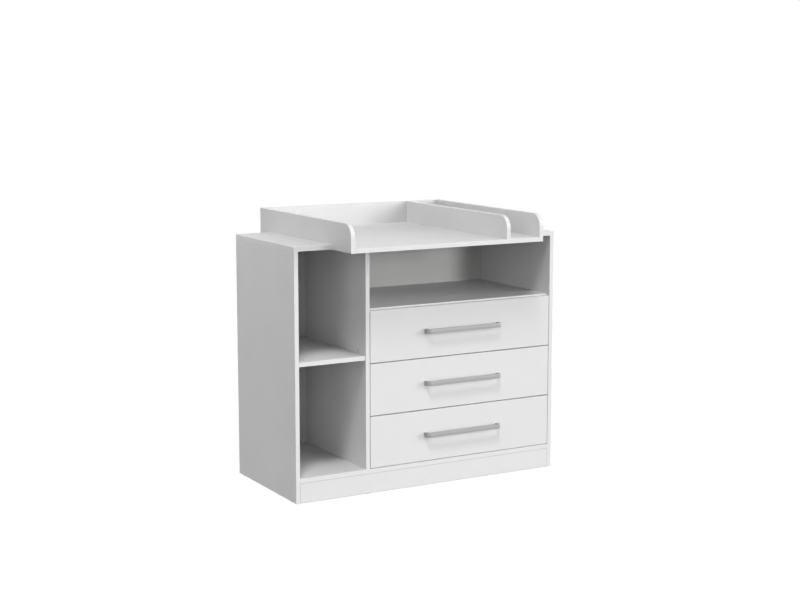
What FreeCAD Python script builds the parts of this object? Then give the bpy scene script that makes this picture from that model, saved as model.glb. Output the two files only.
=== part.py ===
import FreeCAD, Part
import os
from collections import namedtuple

V = FreeCAD.Vector
RIGHT = V(1, 0, 0)
LEFT = V(-1, 0, 0)
REAR = V(0, 1, 0)
FRONT = V(0, -1, 0)
UP = V(0, 0, 1)
DOWN = V(0, 0, -1)

# Changing dresser: a cabinet with one open bay, three drawers under an open niche, and a
# changing tray that hooks over the top. All sizes are in millimetres. X runs to the right,
# Y to the rear, Z up. The origin is on the floor, in the middle of the whole outline.

# --- Cabinet ---------------------------------------------------------------------------------
CABINET_WIDTH = 1072.0
CABINET_DEPTH = 488.0
CABINET_HEIGHT = 900.0
BOARD_T = 16.0              # melamine-faced chipboard
EDGE_R = 0.8                # softened edge of a banded board
PLINTH_HEIGHT = 74.0        # floor to the underside of the bottom panel
OPEN_BAY_WIDTH = 260.0      # clear width of the left bay
NICHE_HEIGHT = 219.0        # clear height of the niche above the drawers
SHELF_ABOVE_MIDDLE = 5.0    # adjustable shelf, from the middle of the left bay's height
SHELF_SIDE_GAP = 1.0
SHELF_FRONT_RECESS = 2.0
SHELF_REAR_GAP = 2.0
REAR_PLINTH_INSET = 20.0
GLIDE_HEIGHT = 2.0
GLIDE_R = 7.0
GLIDE_INSET = 40.0
GLIDE_PIN_R = 1.0
GLIDE_PIN_LENGTH = 12.0

# --- Back panels in their grooves ---------------------------------------------------------------
BACK_T = 3.0
BACK_INSET = 8.0            # rear edge of the cabinet to the back panel
GROOVE_DEPTH = 6.0
GROOVE_CLEAR = 0.2          # each side of the back panel in its groove
BACK_BITE = 5.0             # how far the back panel reaches into a groove
BACK_LEAF_GAP = 0.6         # between the two leaves, behind the partition
NAIL_R = 0.8
NAIL_LENGTH = 20.0
NAIL_HEAD_R = 2.0
NAIL_HEAD_T = 0.8
NAIL_OFFSET = 4.0           # from the partition's middle to each column of nails
NAIL_COUNT = 6
NAIL_END_INSET = 60.0

# --- Shelf pins -------------------------------------------------------------------------------
PIN_R = 2.5
PIN_INSET = 58.0            # from the shelf's front and rear edges to the pins
PIN_PITCH = 30.0
PIN_ROWS = 3                # rows of holes, the pins sit in the middle one
PIN_HOLE_DEPTH = 9.0
PIN_REACH = 8.0
PIN_CLEAR = 0.05

# --- Cam fittings and dowels --------------------------------------------------------------------
CAM_R = 7.5
CAM_DEPTH = 13.0
CAM_SINK = 0.5
CAM_SETBACK = 24.0          # joint plane to the cam's middle
CAM_CLEAR = 0.1
CAM_SLOT_R = 3.9
CAM_SLOT_BEYOND = 3.0
CAM_INSET = 50.0            # front and rear edges of the cabinet to the cam rows
CAP_R = 8.5
CAP_T = 0.8
BOLT_R = 3.0
BOLT_HOLE_R = 4.0
BOLT_THREAD_R = 2.5
BOLT_THREAD_LENGTH = 10.5
BOLT_HEAD_R = 3.5
BOLT_HEAD_T = 2.5
DOWEL_R = 4.0
DOWEL_CLEAR = 0.05
DOWEL_IN_EDGE = 19.0
DOWEL_IN_FACE = 10.5
DOWEL_END_GAP = 0.5
DOWEL_PITCH = 32.0          # a dowel stands this far from its cam

# --- Drawers ------------------------------------------------------------------------------------
DRAWER_NAMES = ("bottom_drawer", "middle_drawer", "top_drawer")
FRONT_T = 16.0
FRONT_GAP = 3.0             # between neighbouring fronts
FRONT_BOTTOM_GAP = 2.0      # over the bottom panel
FRONT_SIDE_GAP = 2.0
SHELF_REVEAL = 6.0          # of the niche's floor above the top drawer's front
SHELF_BEHIND_FRONT = 1.0    # air between the drawer fronts and the niche's floor
DRAWER_SIDE_T = 12.0
DRAWER_SIDE_HEIGHT = 130.0
DRAWER_BACK_DROP = 6.0      # the box's back is lower than its sides
DRAWER_REAR_CLEAR = 12.0
DRAWER_BOTTOM_T = 3.0
DRAWER_BOTTOM_LIFT = 12.0
DRAWER_BOTTOM_BITE = 5.0
DRAWER_EDGE_R = 0.5

# --- Roller runners --------------------------------------------------------------------------------
RUNNER_SPACE = 12.5         # between a drawer side and the cabinet
RUNNER_SHEET = 1.2
RUNNER_FRONT_GAP = 2.0      # behind the drawer front
RUNNER_REAR_GAP = 6.0       # before the drawer box ends
RUNNER_LIFT = 10.0          # lower edge of the drawer front to the cabinet runner
RUNNER_LIP_GAP = 0.4        # cabinet runner's flanges to the drawer runner
TRACK_TOP_GAP = 0.4
TRACK_WALL_GAP = 1.8        # outer edge of the track to the cabinet runner's web
DRAWER_RUNNER_LIFT = 2.0    # above the cabinet runner's underside
ROLLER_R = 10.0
ROLLER_WIDTH = 7.5
ROLLER_SIDE_GAP = 0.7
ROLLER_REST_GAP = 0.1       # under a roller, or over it, on its track
ROLLER_FREE_GAP = 0.3       # on the roller's idle side
ROLLER_END_INSET = 14.0
AXLE_R = 2.5
AXLE_CLEAR = 0.05
AXLE_HEAD_R = 3.5
AXLE_HEAD_T = 0.8
AXLE_HEAD_GAP = 0.3
SCREW_R = 1.75
SCREW_HEAD_R = 3.3
SCREW_LENGTH = 11.0         # in a cabinet board
SIDE_SCREW_LENGTH = 9.0     # in a drawer side
SCREW_CLEAR = 0.05
RUNNER_SCREW_COUNT = 3
RUNNER_SCREW_INSET = 70.0

# --- Handles --------------------------------------------------------------------------------------
HANDLE_LENGTH = 317.0
HANDLE_HEIGHT = 16.0
HANDLE_REACH = 26.0
HANDLE_BAR_T = 7.0
HANDLE_LEG_T = 12.0
HANDLE_BEND_R = 18.0
HANDLE_INNER_R = 9.0
HANDLE_EDGE_R = 0.8
HANDLE_RISE = 4.0           # above the middle of its drawer front
HANDLE_SCREW_R = 2.0
HANDLE_SCREW_BITE = 10.0
HANDLE_SCREW_HEAD_R = 4.0
HANDLE_SCREW_HEAD_T = 2.4
HANDLE_SCREW_CLEAR = 0.2
THREAD_CLEAR = 0.05

# --- Changing tray ----------------------------------------------------------------------------------
TRAY_WIDTH = 780.0
TRAY_LEFT_INSET = 143.0     # from the cabinet's left face
TRAY_FRONT_OVERHANG = 146.0
TRAY_REAR_OVERHANG = 98.0
TRAY_T = 16.0
TRAY_WALL_HEIGHT = 83.0     # above the cabinet's top
TRAY_MAIN_WIDTH = 608.0     # clear width for the mat
TRAY_CORNER_R = 45.0
TRAY_HOOK_GAP = 0.5         # between the tray's boards and the cabinet's edges
TRAY_SCREW_R = 2.0
TRAY_SCREW_HEAD_R = 3.8
TRAY_SCREW_HEAD_T = 2.2
TRAY_SCREW_BITE = 25.0
TRAY_SCREW_CLEAR = 0.2
TRAY_SCREW_INSET = 110.0
TRAY_DOWEL_INSET = 34.0

# --- Levels and planes worked out from the sizes above ----------------------------------------------
total_depth = TRAY_FRONT_OVERHANG + CABINET_DEPTH + TRAY_REAR_OVERHANG
tray_front_y = -total_depth / 2
tray_rear_y = total_depth / 2
front_y = tray_front_y + TRAY_FRONT_OVERHANG
rear_y = front_y + CABINET_DEPTH
left_x = -CABINET_WIDTH / 2
right_x = CABINET_WIDTH / 2
bay_left_x = left_x + BOARD_T
partition_left_x = bay_left_x + OPEN_BAY_WIDTH
partition_right_x = partition_left_x + BOARD_T
bay_right_x = right_x - BOARD_T
partition_mid_x = partition_left_x + BOARD_T / 2
top_z = CABINET_HEIGHT
under_top_z = top_z - BOARD_T
bottom_z = PLINTH_HEIGHT
floor_z = bottom_z + BOARD_T
niche_floor_z = under_top_z - NICHE_HEIGHT
niche_under_z = niche_floor_z - BOARD_T
back_rear_y = rear_y - BACK_INSET
back_front_y = back_rear_y - BACK_T
shelf_under_z = (floor_z + under_top_z) / 2 + SHELF_ABOVE_MIDDLE - BOARD_T / 2
pin_z = shelf_under_z - PIN_R
pin_front_y = front_y + PIN_INSET
pin_rear_y = rear_y - PIN_INSET
rear_plinth_y = rear_y - REAR_PLINTH_INSET - BOARD_T

front_rear_y = front_y + FRONT_T
fronts_top_z = niche_floor_z - SHELF_REVEAL
fronts_bottom_z = floor_z + FRONT_BOTTOM_GAP
front_count = len(DRAWER_NAMES)
front_height = (fronts_top_z - fronts_bottom_z - (front_count - 1) * FRONT_GAP) / front_count
front_left_x = partition_right_x + FRONT_SIDE_GAP
front_right_x = bay_right_x - FRONT_SIDE_GAP
front_mid_x = (front_left_x + front_right_x) / 2
box_left_x = partition_right_x + RUNNER_SPACE
box_right_x = bay_right_x - RUNNER_SPACE
box_rear_y = back_front_y - DRAWER_REAR_CLEAR

runner_front_y = front_rear_y + RUNNER_FRONT_GAP
runner_rear_y = box_rear_y - RUNNER_REAR_GAP
roller_channel = 2 * ROLLER_R + ROLLER_REST_GAP + ROLLER_FREE_GAP
track_under = RUNNER_SHEET + roller_channel
track_top = track_under + RUNNER_SHEET
channel_top = track_top + TRACK_TOP_GAP
runner_height = channel_top + RUNNER_SHEET
rear_roller_rise = RUNNER_SHEET + ROLLER_REST_GAP + ROLLER_R
front_roller_rise = track_under - ROLLER_REST_GAP - ROLLER_R
drawer_runner_reach = RUNNER_SPACE - RUNNER_SHEET
lip_reach = drawer_runner_reach - RUNNER_LIP_GAP
box_lift = DRAWER_RUNNER_LIFT + RUNNER_SHEET
front_axle_y = runner_front_y + ROLLER_END_INSET
rear_axle_y = runner_rear_y - ROLLER_END_INSET

tray_left_x = left_x + TRAY_LEFT_INSET
tray_right_x = tray_left_x + TRAY_WIDTH
tray_in_left_x = tray_left_x + TRAY_T
tray_in_right_x = tray_right_x - TRAY_T
divider_left_x = tray_in_left_x + TRAY_MAIN_WIDTH
divider_mid_x = divider_left_x + TRAY_T / 2
tray_top_z = top_z + TRAY_WALL_HEIGHT
tray_under_z = top_z - TRAY_T
tray_in_rear_y = tray_rear_y - TRAY_T
hook_front_y = front_y - TRAY_HOOK_GAP
hook_rear_y = rear_y + TRAY_HOOK_GAP

# A joint of one board's edge on another board's face: a point on the joint plane in the middle
# of the edge, the direction into the face, and for a cam the side it is turned from.
CamJoint = namedtuple("CamJoint", "edge_board face_board point into cam_side capped")
DowelJoint = namedtuple("DowelJoint", "edge_board face_board point into")


def block(x0, x1, y0, y1, z0, z1):
    """A plain box between two corners."""
    return Part.makeBox(x1 - x0, y1 - y0, z1 - z0, V(x0, y0, z0))


def board(x0, x1, y0, y1, z0, z1, edge_r=EDGE_R):
    """A board whose twelve edges are softened."""
    solid = block(x0, x1, y0, y1, z0, z1)
    return solid.makeFillet(edge_r, solid.Edges)


def rod(start, direction, length, radius):
    """A round bar or bore from a point along a direction."""
    return Part.makeCylinder(radius, length, start, direction)


def cone(start, direction, length, start_r, end_r):
    """A countersink or a screw's head."""
    return Part.makeCone(start_r, end_r, length, start, direction)


def cut_all(solid, cutters):
    """The solid without any of the cutters."""
    return solid.cut(cutters) if cutters else solid


# --- Fittings ---------------------------------------------------------------------------------------
def cabinet_rows():
    """The Y of the front and the rear row of fittings, with the way to each row's dowel."""
    return ((front_y + CAM_INSET, 1), (rear_y - CAM_INSET, -1))


def upright_joints(y):
    """Cam joints of the two sides and the partition in one row."""
    mid_t = BOARD_T / 2
    return [
        CamJoint("left_side_panel", "top_panel", V(left_x + mid_t, y, under_top_z), UP, RIGHT, True),
        CamJoint("partition_panel", "top_panel", V(partition_mid_x, y, under_top_z), UP, RIGHT, True),
        CamJoint("right_side_panel", "top_panel", V(right_x - mid_t, y, under_top_z), UP, LEFT, True),
        CamJoint("partition_panel", "bottom_panel", V(partition_mid_x, y, floor_z), DOWN, RIGHT, False),
    ]


def level_joints(y):
    """Cam joints of the bottom panel and the niche's floor in one row."""
    bottom_mid_z = bottom_z + BOARD_T / 2
    niche_mid_z = niche_under_z + BOARD_T / 2
    return [
        CamJoint("bottom_panel", "left_side_panel", V(bay_left_x, y, bottom_mid_z), LEFT, DOWN, False),
        CamJoint("bottom_panel", "right_side_panel", V(bay_right_x, y, bottom_mid_z), RIGHT, DOWN, False),
        CamJoint("niche_shelf", "partition_panel", V(partition_right_x, y, niche_mid_z), LEFT, DOWN, False),
        CamJoint("niche_shelf", "right_side_panel", V(bay_right_x, y, niche_mid_z), RIGHT, DOWN, False),
    ]


def plinth_joints(z):
    """Cam joints of the two plinths at one height."""
    front_mid_y = front_y + BOARD_T / 2
    rear_mid_y = rear_plinth_y + BOARD_T / 2
    return [
        CamJoint("front_plinth", "left_side_panel", V(bay_left_x, front_mid_y, z), LEFT, REAR, False),
        CamJoint("front_plinth", "right_side_panel", V(bay_right_x, front_mid_y, z), RIGHT, REAR, False),
        CamJoint("rear_plinth", "left_side_panel", V(bay_left_x, rear_mid_y, z), LEFT, FRONT, False),
        CamJoint("rear_plinth", "right_side_panel", V(bay_right_x, rear_mid_y, z), RIGHT, FRONT, False),
    ]


def plinth_fitting_heights():
    """Heights of the plinths' cams and dowels, a third in from each edge of the plinth."""
    tall = PLINTH_HEIGHT - GLIDE_HEIGHT
    return PLINTH_HEIGHT - tall / 3, GLIDE_HEIGHT + tall / 3


def cam_joints():
    joints = []
    for y, _ in cabinet_rows():
        joints += upright_joints(y) + level_joints(y)
    cam_z, _ = plinth_fitting_heights()
    return joints + plinth_joints(cam_z)


def cabinet_dowel_joints():
    """One dowel stands beside every cam."""
    joints = []
    for y, way in cabinet_rows():
        for cam in upright_joints(y + way * DOWEL_PITCH) + level_joints(y + way * DOWEL_PITCH):
            joints.append(DowelJoint(cam.edge_board, cam.face_board, cam.point, cam.into))
    _, dowel_z = plinth_fitting_heights()
    for cam in plinth_joints(dowel_z):
        joints.append(DowelJoint(cam.edge_board, cam.face_board, cam.point, cam.into))
    return joints


def tray_dowel_joints():
    """Dowels that hold the tray's boards together."""
    joints = []
    mid_z = tray_under_z + TRAY_T / 2
    rear_mid_y = tray_in_rear_y + TRAY_T / 2
    ends = ((tray_in_left_x, "tray_left_wall", LEFT), (tray_in_right_x, "tray_right_wall", RIGHT))
    for x, wall, into in ends:
        for y in (tray_front_y + TRAY_DOWEL_INSET, hook_front_y - TRAY_DOWEL_INSET):
            joints.append(DowelJoint("tray_front_board", wall, V(x, y, mid_z), into))
        for y in (hook_rear_y + TRAY_DOWEL_INSET / 2, tray_in_rear_y - TRAY_DOWEL_INSET / 2):
            joints.append(DowelJoint("tray_rear_board", wall, V(x, y, mid_z), into))
        for z in (tray_under_z + TRAY_DOWEL_INSET / 2, tray_top_z - TRAY_DOWEL_INSET / 2):
            joints.append(DowelJoint("tray_back_wall", wall, V(x, rear_mid_y, z), into))
    for z in (top_z + TRAY_DOWEL_INSET / 2, tray_top_z - TRAY_DOWEL_INSET / 2):
        joints.append(DowelJoint("tray_divider", "tray_back_wall", V(divider_mid_x, tray_in_rear_y, z), REAR))
    for y in (tray_front_y + TRAY_DOWEL_INSET, hook_front_y - TRAY_DOWEL_INSET):
        joints.append(DowelJoint("tray_divider", "tray_front_board", V(divider_mid_x, y, top_z), DOWN))
    return joints


def cam_middle(joint):
    return joint.point - joint.into * CAM_SETBACK


def cam_bores(joint):
    """The cam's pocket and the bolt's hole, both in the board that holds the cam."""
    face = cam_middle(joint) + joint.cam_side * (BOARD_T / 2)
    pocket = rod(face, joint.cam_side * -1, CAM_DEPTH, CAM_R + CAM_CLEAR)
    hole = rod(cam_middle(joint), joint.into, CAM_SETBACK, BOLT_HOLE_R)
    return [pocket, hole]


def thread_bore(joint):
    """The bolt's hole in the other board."""
    return rod(joint.point, joint.into, BOLT_THREAD_LENGTH + DOWEL_END_GAP, BOLT_THREAD_R + THREAD_CLEAR)


def dowel_bores(joint, in_edge):
    """One half of a dowel's hole: in the edge or in the face."""
    way = joint.into * -1 if in_edge else joint.into
    deep = DOWEL_IN_EDGE if in_edge else DOWEL_IN_FACE
    return rod(joint.point, way, deep + DOWEL_END_GAP, DOWEL_R + DOWEL_CLEAR)


def bored(name, solid):
    """The named board with the holes of all its fittings."""
    cutters = []
    for joint in cam_joints():
        if joint.edge_board == name:
            cutters += cam_bores(joint)
        if joint.face_board == name:
            cutters.append(thread_bore(joint))
    for joint in cabinet_dowel_joints() + tray_dowel_joints():
        if joint.edge_board == name:
            cutters.append(dowel_bores(joint, True))
        if joint.face_board == name:
            cutters.append(dowel_bores(joint, False))
    return cut_all(solid, cutters)


def cam_lock(joint):
    """A round cam with the slot that takes the bolt's head."""
    face = cam_middle(joint) + joint.cam_side * (BOARD_T / 2 - CAM_SINK)
    body = rod(face, joint.cam_side * -1, CAM_DEPTH - CAM_SINK - CAM_CLEAR, CAM_R)
    slot_start = cam_middle(joint) - joint.into * CAM_SLOT_BEYOND
    return body.cut(rod(slot_start, joint.into, CAM_SLOT_BEYOND + CAM_R, CAM_SLOT_R))


def cam_bolt(joint):
    """A bolt screwed into one board, with its head in the other board's cam."""
    middle = cam_middle(joint)
    head = rod(middle - joint.into * (BOLT_HEAD_T / 2), joint.into, BOLT_HEAD_T, BOLT_HEAD_R)
    shank = rod(middle, joint.into, CAM_SETBACK, BOLT_R)
    thread = rod(joint.point, joint.into, BOLT_THREAD_LENGTH, BOLT_THREAD_R)
    return head.fuse([shank, thread]).removeSplitter()


def cam_cap(joint):
    """The flat cover over a cam that would show."""
    face = cam_middle(joint) + joint.cam_side * (BOARD_T / 2)
    return rod(face, joint.cam_side, CAP_T, CAP_R)


def dowel(joint):
    start = joint.point - joint.into * DOWEL_IN_EDGE
    return rod(start, joint.into, DOWEL_IN_EDGE + DOWEL_IN_FACE, DOWEL_R)


def group(solids):
    return Part.makeCompound(solids)


# --- Cabinet boards ----------------------------------------------------------------------------------
def back_groove():
    """The space that the back panels' edges slide into."""
    y0 = back_front_y - GROOVE_CLEAR
    y1 = back_rear_y + GROOVE_CLEAR
    x0 = bay_left_x - GROOVE_DEPTH
    x1 = bay_right_x + GROOVE_DEPTH
    return block(x0, x1, y0, y1, floor_z - GROOVE_DEPTH, under_top_z + GROOVE_DEPTH)


def pin_places():
    """Y of each pin column and the heights of its holes."""
    middle_row = (PIN_ROWS - 1) / 2
    heights = [pin_z + (row - middle_row) * PIN_PITCH for row in range(PIN_ROWS)]
    return (pin_front_y, pin_rear_y), heights


def pin_holes(x, into):
    columns, heights = pin_places()
    return [rod(V(x, y, z), into, PIN_HOLE_DEPTH, PIN_R + PIN_CLEAR) for y in columns for z in heights]


def glide_places():
    """Glides stand under both sides, and under both plinths in line with the partition."""
    mid_t = BOARD_T / 2
    places = []
    for x in (left_x + mid_t, right_x - mid_t):
        for y in (front_y + GLIDE_INSET, rear_y - GLIDE_INSET):
            places.append(V(x, y, 0))
    for y in (front_y + mid_t, rear_plinth_y + mid_t):
        places.append(V(partition_mid_x, y, 0))
    return places


def glide_holes():
    return [rod(p, UP, GLIDE_HEIGHT + GLIDE_PIN_LENGTH, GLIDE_PIN_R) for p in glide_places()]


def runner_pilot_holes(wall_x, into):
    """The holes for all the cabinet runners' screws in one wall."""
    length = SCREW_LENGTH + SCREW_CLEAR
    radius = SCREW_R + SCREW_CLEAR
    places = [place for index in range(front_count) for place in wall_screws(wall_x, index)]
    return [rod(place, into, length, radius) for place in places]


def left_side_panel():
    panel = board(left_x, bay_left_x, front_y, rear_y, GLIDE_HEIGHT, under_top_z)
    panel = cut_all(panel, [back_groove()] + pin_holes(bay_left_x, LEFT) + glide_holes())
    return bored("left_side_panel", panel)


def right_side_panel():
    panel = board(bay_right_x, right_x, front_y, rear_y, GLIDE_HEIGHT, under_top_z)
    panel = cut_all(panel, [back_groove()] + glide_holes() + runner_pilot_holes(bay_right_x, RIGHT))
    return bored("right_side_panel", panel)


def partition_panel():
    panel = board(partition_left_x, partition_right_x, front_y, back_front_y, floor_z, under_top_z)
    cutters = pin_holes(partition_left_x, RIGHT) + runner_pilot_holes(partition_right_x, LEFT)
    cutters += [nail_body(x, z, 0) for x, z in nail_places()]
    return bored("partition_panel", cut_all(panel, cutters))


def top_panel():
    panel = board(left_x, right_x, front_y, rear_y, under_top_z, top_z)
    cutters = [back_groove()] + [tray_screw_bore(place) for place in tray_screw_places()]
    return bored("top_panel", cut_all(panel, cutters))


def bottom_panel():
    panel = board(bay_left_x, bay_right_x, front_y, rear_y, bottom_z, floor_z)
    return bored("bottom_panel", cut_all(panel, [back_groove()]))


def front_plinth():
    panel = board(bay_left_x, bay_right_x, front_y, front_y + BOARD_T, GLIDE_HEIGHT, bottom_z)
    return bored("front_plinth", cut_all(panel, glide_holes()))


def rear_plinth():
    panel = board(bay_left_x, bay_right_x, rear_plinth_y, rear_plinth_y + BOARD_T, GLIDE_HEIGHT, bottom_z)
    return bored("rear_plinth", cut_all(panel, glide_holes()))


def niche_shelf():
    shelf_front_y = front_rear_y + SHELF_BEHIND_FRONT
    panel = board(partition_right_x, bay_right_x, shelf_front_y, back_front_y, niche_under_z, niche_floor_z)
    return bored("niche_shelf", panel)


def adjustable_shelf():
    x0 = bay_left_x + SHELF_SIDE_GAP
    x1 = partition_left_x - SHELF_SIDE_GAP
    y0 = front_y + SHELF_FRONT_RECESS
    y1 = back_front_y - SHELF_REAR_GAP
    return board(x0, x1, y0, y1, shelf_under_z, shelf_under_z + BOARD_T)


def shelf_pins():
    """Four steel pins, half in the board and half under the shelf."""
    columns, _ = pin_places()
    pins = []
    for x, out in ((bay_left_x, RIGHT), (partition_left_x, LEFT)):
        for y in columns:
            start = V(x, y, pin_z) - out * (PIN_HOLE_DEPTH - DOWEL_END_GAP)
            pins.append(rod(start, out, PIN_HOLE_DEPTH - DOWEL_END_GAP + PIN_REACH, PIN_R))
    return group(pins)


def nail_places():
    """X and Z of the nails that hold both back leaves to the partition."""
    first = floor_z + NAIL_END_INSET
    step = (under_top_z - NAIL_END_INSET - first) / (NAIL_COUNT - 1)
    columns = (partition_mid_x - NAIL_OFFSET, partition_mid_x + NAIL_OFFSET)
    return [(x, first + step * n) for x in columns for n in range(NAIL_COUNT)]


def nail_body(x, z, clear):
    return rod(V(x, back_rear_y, z), FRONT, NAIL_LENGTH + BACK_T, NAIL_R + clear)


def back_panel_nails():
    nails = []
    for x, z in nail_places():
        head = rod(V(x, back_rear_y, z), REAR, NAIL_HEAD_T, NAIL_HEAD_R)
        nails.append(head.fuse(nail_body(x, z, 0)).removeSplitter())
    return group(nails)


def back_leaf(x0, x1):
    leaf = block(x0, x1, back_front_y, back_rear_y, floor_z - BACK_BITE, under_top_z + BACK_BITE)
    return cut_all(leaf, [nail_body(x, z, 0) for x, z in nail_places()])


def back_panel_left():
    return back_leaf(bay_left_x - BACK_BITE, partition_mid_x - BACK_LEAF_GAP / 2)


def back_panel_right():
    return back_leaf(partition_mid_x + BACK_LEAF_GAP / 2, bay_right_x + BACK_BITE)


def floor_glides():
    glides = []
    for place in glide_places():
        pin = rod(place, UP, GLIDE_HEIGHT + GLIDE_PIN_LENGTH - DOWEL_END_GAP, GLIDE_PIN_R)
        glides.append(rod(place, UP, GLIDE_HEIGHT, GLIDE_R).fuse(pin).removeSplitter())
    return group(glides)


# --- Changing tray ----------------------------------------------------------------------------------
def tray_wall_outline(x, bottom_front_z):
    """A wall's side view: rounded at the top front, notched over the cabinet if it hooks on."""
    r = TRAY_CORNER_R
    arc_mid = V(x, tray_front_y + r * (1 - 0.5 ** 0.5), tray_top_z - r * (1 - 0.5 ** 0.5))
    arc = Part.Arc(V(x, tray_front_y, tray_top_z - r), arc_mid, V(x, tray_front_y + r, tray_top_z)).toShape()
    corners = [V(x, tray_front_y + r, tray_top_z)]
    if bottom_front_z < top_z:
        corners += [
            V(x, tray_rear_y, tray_top_z),
            V(x, tray_rear_y, bottom_front_z),
            V(x, hook_rear_y, bottom_front_z),
            V(x, hook_rear_y, top_z),
            V(x, hook_front_y, top_z),
            V(x, hook_front_y, bottom_front_z),
        ]
    else:
        corners += [V(x, tray_in_rear_y, tray_top_z), V(x, tray_in_rear_y, top_z)]
    corners += [V(x, tray_front_y, bottom_front_z), V(x, tray_front_y, tray_top_z - r)]
    return Part.Face(Part.Wire([arc] + Part.makePolygon(corners).Edges))


def long_outer_edges(solid, x0, x1):
    """The edges of an upright plate that run around its two faces, clear of the notch."""
    picked = []
    for edge in solid.Edges:
        box = edge.BoundBox
        on_face = box.XLength < EDGE_R and min(abs(box.XMin - x0), abs(box.XMin - x1)) < EDGE_R
        in_notch = box.ZMax <= top_z + EDGE_R and box.YMin >= hook_front_y - EDGE_R
        if on_face and not (in_notch and box.YMax <= hook_rear_y + EDGE_R):
            picked.append(edge)
    return picked


def tray_plate(x, bottom_front_z):
    plate = tray_wall_outline(x, bottom_front_z).extrude(V(TRAY_T, 0, 0))
    return plate.makeFillet(EDGE_R, long_outer_edges(plate, x, x + TRAY_T))


def tray_screw_places():
    """Points on the cabinet's top under the tray's two walls and its divider."""
    xs = (tray_left_x + TRAY_T / 2, divider_mid_x, tray_right_x - TRAY_T / 2)
    ys = (front_y + TRAY_SCREW_INSET, rear_y - TRAY_SCREW_INSET)
    return [V(x, y, top_z) for x in xs for y in ys]


def tray_screw_bore(place):
    """The screw's way through the top panel, countersunk from below."""
    start = place - UP * BOARD_T
    head_r = TRAY_SCREW_HEAD_R + TRAY_SCREW_CLEAR
    hole = rod(start, UP, BOARD_T, TRAY_SCREW_R + TRAY_SCREW_CLEAR)
    return hole.fuse(cone(start, UP, TRAY_SCREW_HEAD_T, head_r, TRAY_SCREW_R + TRAY_SCREW_CLEAR))


def tray_screw_pilots():
    return [rod(place, UP, TRAY_SCREW_BITE + DOWEL_END_GAP, TRAY_SCREW_R) for place in tray_screw_places()]


def tray_left_wall():
    return bored("tray_left_wall", cut_all(tray_plate(tray_left_x, tray_under_z), tray_screw_pilots()))


def tray_right_wall():
    return bored("tray_right_wall", cut_all(tray_plate(tray_in_right_x, tray_under_z), tray_screw_pilots()))


def tray_divider():
    return bored("tray_divider", cut_all(tray_plate(divider_left_x, top_z), tray_screw_pilots()))


def tray_back_wall():
    wall = board(tray_in_left_x, tray_in_right_x, tray_in_rear_y, tray_rear_y, tray_under_z, tray_top_z)
    return bored("tray_back_wall", wall)


def tray_front_board():
    panel = board(tray_in_left_x, tray_in_right_x, tray_front_y, hook_front_y, tray_under_z, top_z)
    return bored("tray_front_board", panel)


def tray_rear_board():
    panel = board(tray_in_left_x, tray_in_right_x, hook_rear_y, tray_in_rear_y, tray_under_z, top_z)
    return bored("tray_rear_board", panel)


def tray_screws():
    screws = []
    for place in tray_screw_places():
        start = place - UP * BOARD_T
        shank = rod(start, UP, BOARD_T + TRAY_SCREW_BITE, TRAY_SCREW_R)
        head = cone(start, UP, TRAY_SCREW_HEAD_T, TRAY_SCREW_HEAD_R, TRAY_SCREW_R)
        screws.append(shank.fuse(head).removeSplitter())
    return group(screws)


# --- Runners ----------------------------------------------------------------------------------------
def front_z(index):
    """Lower edge of a drawer front, counted from the bottom."""
    return fronts_bottom_z + index * (front_height + FRONT_GAP)


def runner_z(index):
    return front_z(index) + RUNNER_LIFT


def runner_sides():
    """Each wall that carries runners, with the way into the drawer space."""
    return ((partition_right_x, 1), (bay_right_x, -1))


def strip(wall_x, way, near, far, y0, y1, z0, z1):
    """A box measured from a wall: near and far are distances into the drawer space."""
    a = wall_x + way * near
    b = wall_x + way * far
    return block(min(a, b), max(a, b), y0, y1, z0, z1)


def cabinet_runner(wall_x, way, index):
    """A channel on the wall, with the front roller's axle riveted into it."""
    z = runner_z(index)
    web = strip(wall_x, way, 0, RUNNER_SHEET, runner_front_y, runner_rear_y, z, z + runner_height)
    lower = strip(wall_x, way, 0, lip_reach, runner_front_y, runner_rear_y, z, z + RUNNER_SHEET)
    upper = strip(wall_x, way, 0, lip_reach, runner_front_y, runner_rear_y, z + channel_top, z + runner_height)
    into = RIGHT * way
    axle_start = V(wall_x, front_axle_y, z + front_roller_rise)
    axle_reach = RUNNER_SHEET + ROLLER_SIDE_GAP + ROLLER_WIDTH + AXLE_HEAD_GAP
    axle = rod(axle_start, into, axle_reach, AXLE_R)
    head = rod(axle_start + into * axle_reach, into, AXLE_HEAD_T, AXLE_HEAD_R)
    channel = web.fuse([lower, upper, axle, head]).removeSplitter()
    return cut_all(channel, [countersink(place, way) for place in wall_screws(wall_x, index)])


def runner_screws_at(x, index):
    """The evenly spaced screws of one runner, on the face at one X."""
    first = runner_front_y + RUNNER_SCREW_INSET
    step = (runner_rear_y - RUNNER_SCREW_INSET - first) / (RUNNER_SCREW_COUNT - 1)
    z = runner_z(index) + rear_roller_rise
    return [V(x, first + step * n, z) for n in range(RUNNER_SCREW_COUNT)]


def wall_screws(wall_x, index):
    """Where one cabinet runner's screws enter the wall."""
    return runner_screws_at(wall_x, index)


def countersink(place, way):
    into = RIGHT * way
    return cone(place, into, RUNNER_SHEET, SCREW_R + SCREW_CLEAR, SCREW_HEAD_R + SCREW_CLEAR)


def sheet_screw(place, way, length):
    """A screw whose head fills the countersink, with its shank in the board."""
    into = RIGHT * way
    head = cone(place, into, RUNNER_SHEET, SCREW_R, SCREW_HEAD_R)
    return head.fuse(rod(place, into * -1, length, SCREW_R)).removeSplitter()


def cabinet_runners(index):
    return group([cabinet_runner(wall_x, way, index) for wall_x, way in runner_sides()])


def runner_screws():
    screws = []
    for index in range(front_count):
        for wall_x, way in runner_sides():
            screws += [sheet_screw(place, way, SCREW_LENGTH) for place in wall_screws(wall_x, index)]
    return group(screws)


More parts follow.
